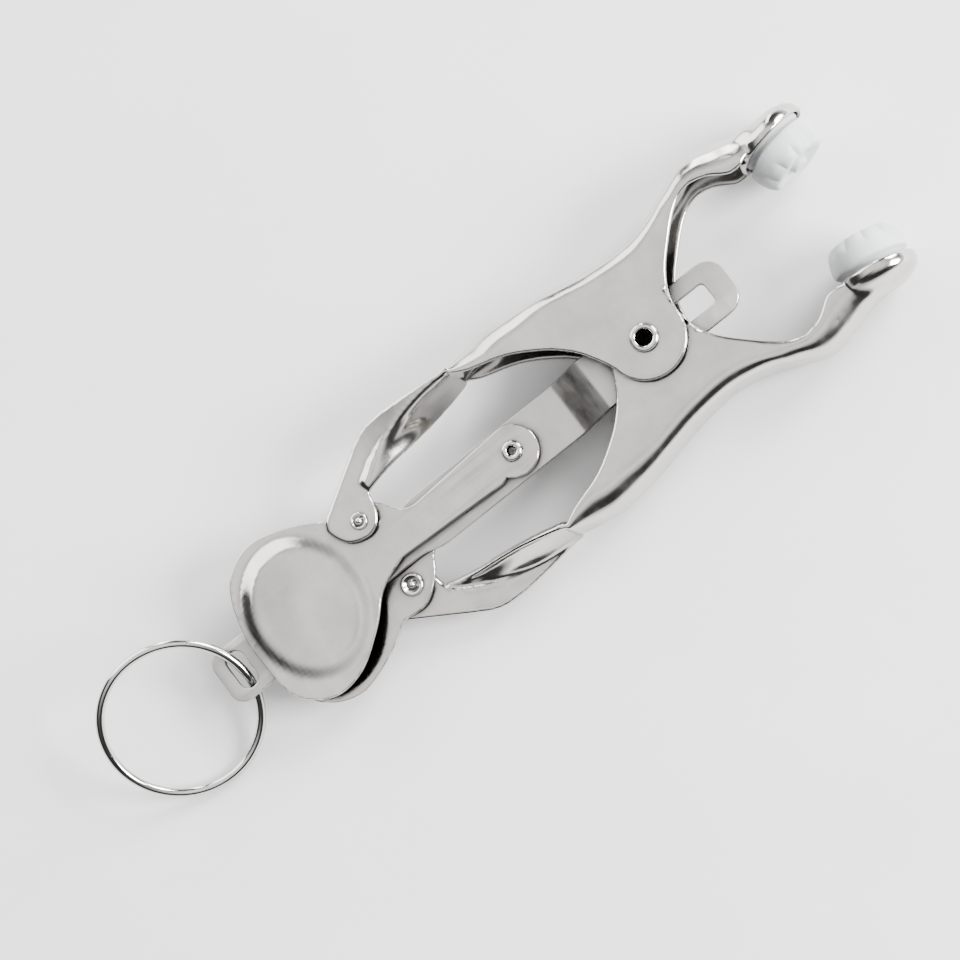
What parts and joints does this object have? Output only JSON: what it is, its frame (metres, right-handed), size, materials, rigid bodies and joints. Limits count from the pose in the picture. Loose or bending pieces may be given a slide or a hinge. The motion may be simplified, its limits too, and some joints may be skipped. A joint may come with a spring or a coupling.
{
  "type": "self-tightening toggle clamp",
  "caption": "Small sprung clamp of pressed steel with two cupped silicone pads, finger levers, a slotted slide strip and a pull ring that tightens the jaws.",
  "frame": {"origin": "middle of the clamp's footprint, at the height of the surface that it lies on", "axes": "+X towards the jaws along the slide, Y across the jaws, +Z along the pivot, up from the surface"},
  "size_m": [0.0994, 0.025, 0.0098],
  "materials": {
    "plated_steel": "bright nickel plate over pressed sheet, faint ripples from pressing",
    "tumbled_steel": "fine grainy tumbled plate, satin",
    "bright_fasteners": "bright nickel plate",
    "spring_steel": "drawn spring wire",
    "silicone": "translucent white silicone, satin"
  },
  "bodies": {
    "strip": {"slide_strip": "tumbled_steel", "link_eyelet": "bright_fasteners"},
    "pivot": {"pivot_eyelet": "bright_fasteners", "pivot_spacer": "tumbled_steel", "torsion_spring": "spring_steel"},
    "upper_arm": {"arm_upper": "plated_steel", "pad_upper": "silicone", "tab_rivet_upper": "bright_fasteners"},
    "lower_arm": {"arm_lower": "plated_steel", "pad_lower": "silicone", "tab_rivet_lower": "bright_fasteners"},
    "near_lever": {"lever_near": "plated_steel"},
    "far_lever": {"lever_far": "plated_steel"},
    "ring": {"pull_ring": "bright_fasteners"}
  },
  "joints": [
    {"name": "upper_jaw", "type": "hinge", "parent": "pivot", "child": "upper_arm", "pos_m": [0.02278, 0, 0.0049], "axis": [0, 0, -1], "range_deg": [0, 10.5], "stiffness_Nm_per_rad": 0.002, "springref_deg": 28.65, "deforming": ["torsion_spring"]},
    {"name": "lower_jaw", "type": "hinge", "parent": "pivot", "child": "lower_arm", "pos_m": [0.02278, 0, 0.0049], "axis": [0, 0, 1], "range_deg": [0, 10.5]},
    {"name": "pivot_slide", "type": "slide", "parent": "strip", "child": "pivot", "axis": [1, 0, 0], "range_m": [0, 0.00165]},
    {"name": "near_lever_turn", "type": "hinge", "parent": "strip", "child": "near_lever", "pos_m": [0.00468, 0, 0.0049], "axis": [0, 0, -1], "range_deg": [0, 23.1]},
    {"name": "far_lever_turn", "type": "hinge", "parent": "strip", "child": "far_lever", "pos_m": [0.00468, 0, 0.0049], "axis": [0, 0, 1], "range_deg": [0, 23.1]},
    {"name": "ring_swing", "type": "hinge", "parent": "strip", "child": "ring", "pos_m": [-0.03222, 0, 0.0049], "axis": [0, 1, 0], "range_deg": [-15, 15]}
  ],
  "couplings": [
    {"joint": "lower_jaw", "follows": "upper_jaw", "ratio": 1},
    {"joint": "pivot_slide", "follows": "upper_jaw", "m_per_rad": 0.0089},
    {"joint": "near_lever_turn", "follows": "upper_jaw", "ratio": 2.188},
    {"joint": "far_lever_turn", "follows": "upper_jaw", "ratio": 2.188}
  ]
}
